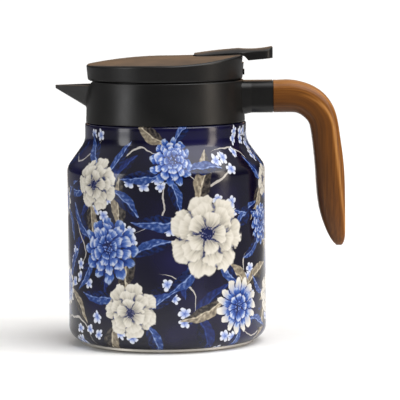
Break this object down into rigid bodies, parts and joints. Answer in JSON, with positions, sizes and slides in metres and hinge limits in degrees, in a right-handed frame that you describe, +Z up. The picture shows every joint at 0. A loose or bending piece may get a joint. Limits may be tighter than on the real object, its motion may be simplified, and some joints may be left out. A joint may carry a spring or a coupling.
{
  "type": "insulated pouring pot",
  "caption": "Vacuum-insulated steel pouring pot with a printed jar, black spout collar, wooden side handle and a lift-off lid whose thumb lever opens a sprung pouring valve.",
  "frame": {"origin": "on the axis of the jar, in the plane the pot stands on", "axes": "+Z up along the jar's axis, +X towards the handle, -X towards the spout, Y across"},
  "size_m": [0.1746, 0.12, 0.1791],
  "materials": {
    "printed_shell": "gloss printed lacquer on drawn steel",
    "bare_steel": "satin stainless steel sheet",
    "black_plastic": "satin moulded polypropylene",
    "grip_wood": "satin lacquered hardwood",
    "silicone": "matt moulded silicone",
    "brass_insert": "turned brass",
    "spring_steel": "drawn stainless spring wire",
    "getter_metal": "pressed metal capsule"
  },
  "bodies": {
    "vessel": {"outer_shell": "printed_shell", "inner_liner": "bare_steel", "shell_bottom": "bare_steel", "seal_bead": "brass_insert", "vacuum_getter": "getter_metal", "base_cap": "bare_steel", "neck_gasket": "silicone", "spout_collar": "black_plastic", "handle_grip": "grip_wood", "handle_bolt": "bare_steel", "bolt_washer": "bare_steel", "grip_insert": "brass_insert"},
    "lid_seal": {"stopper_seal": "silicone"},
    "lid": {"stopper_cup": "black_plastic", "mechanism_deck": "black_plastic", "lid_cover": "black_plastic", "lever_pin": "bare_steel", "stem_seal": "silicone", "valve_spring": "spring_steel"},
    "lever": {"thumb_lever": "black_plastic"},
    "valve": {"valve_stem": "black_plastic", "valve_seal": "silicone", "stem_head": "black_plastic"}
  },
  "joints": [
    {"name": "lid_lift", "type": "slide", "parent": "vessel", "child": "lid_seal", "axis": [0, 0, 1], "range_m": [0, 0.07]},
    {"name": "lid_twist", "type": "hinge", "parent": "lid_seal", "child": "lid", "pos_m": [0, 0, 0.15], "axis": [0, 0, 1], "range_deg": [0, 90]},
    {"name": "lever_press", "type": "hinge", "parent": "lid", "child": "lever", "pos_m": [0.026, 0, 0.165], "axis": [0, 1, 0], "range_deg": [0, 8], "stiffness_Nm_per_rad": 0.5, "springref_deg": -17.19},
    {"name": "valve_lift", "type": "slide", "parent": "lid", "child": "valve", "axis": [0, 0, 1], "range_m": [0, 0.0037], "deforming": ["valve_spring"]}
  ],
  "couplings": [
    {"joint": "valve_lift", "follows": "lever_press", "m_per_rad": 0.026}
  ]
}
